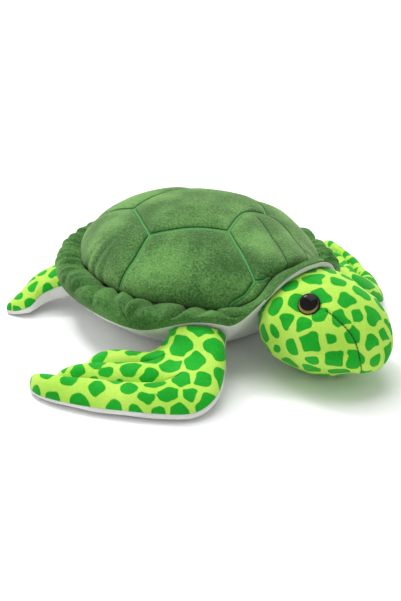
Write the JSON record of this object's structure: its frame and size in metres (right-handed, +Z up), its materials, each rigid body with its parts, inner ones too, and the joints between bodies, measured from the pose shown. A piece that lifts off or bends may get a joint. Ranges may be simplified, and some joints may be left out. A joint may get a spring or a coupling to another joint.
{
  "type": "plush turtle",
  "caption": "Plush sea turtle lying on its belly, with a quilted green shell, a gathered rim, a blotched lime head with safety eyes and four flippers.",
  "frame": {"origin": "middle of the flat of the belly, on the floor", "axes": "+X the way the turtle faces, +Y its left, +Z up"},
  "size_m": [0.372, 0.4081, 0.1127],
  "materials": {
    "shell_pile": "short pile, quilted",
    "rim_pile": "short pile, gathered",
    "lime_pile": "short pile with dark green blotches",
    "white_pile": "short pile",
    "fibre": "loose polyester filling",
    "eye_plastic": "polished",
    "washer_plastic": "moulded"
  },
  "bodies": {
    "body": {"shell_cover": "shell_pile", "rim_cover": "rim_pile", "belly_panel": "white_pile", "body_filling": "fibre"},
    "head": {"head_skin": "lime_pile", "head_filling": "fibre", "eye_right": "eye_plastic", "eye_left": "eye_plastic", "eye_washer_right": "washer_plastic", "eye_washer_left": "washer_plastic"},
    "front_flipper_right": {"front_flipper_right_top": "lime_pile", "front_flipper_right_sole": "white_pile", "front_flipper_right_filling": "fibre"},
    "front_flipper_left": {"front_flipper_left_top": "lime_pile", "front_flipper_left_sole": "white_pile", "front_flipper_left_filling": "fibre"},
    "rear_flipper_right": {"rear_flipper_right_top": "lime_pile", "rear_flipper_right_sole": "white_pile", "rear_flipper_right_filling": "fibre"},
    "rear_flipper_left": {"rear_flipper_left_top": "lime_pile", "rear_flipper_left_sole": "white_pile", "rear_flipper_left_filling": "fibre"}
  },
  "joints": [
    {"name": "head_nod", "type": "hinge", "parent": "body", "child": "head", "pos_m": [0.1495, 0, 0.045], "axis": [0, -1, 0], "range_deg": [-15, 15]},
    {"name": "front_flipper_right_lift", "type": "hinge", "parent": "body", "child": "front_flipper_right", "pos_m": [0.10038, -0.09315, 0.05043], "axis": [-0.7561, -0.6544, 0], "range_deg": [-3, 30]},
    {"name": "rear_flipper_right_lift", "type": "hinge", "parent": "body", "child": "rear_flipper_right", "pos_m": [-0.10568, -0.08832, 0.0399], "axis": [-0.721, 0.6929, 0], "range_deg": [-3, 30]},
    {"name": "front_flipper_left_lift", "type": "hinge", "parent": "body", "child": "front_flipper_left", "pos_m": [0.08493, 0.10477, 0.04503], "axis": [0.838, -0.5457, 0], "range_deg": [-3, 30]},
    {"name": "rear_flipper_left_lift", "type": "hinge", "parent": "body", "child": "rear_flipper_left", "pos_m": [-0.10568, 0.08832, 0.0399], "axis": [0.721, 0.6929, 0], "range_deg": [-3, 30]}
  ]
}
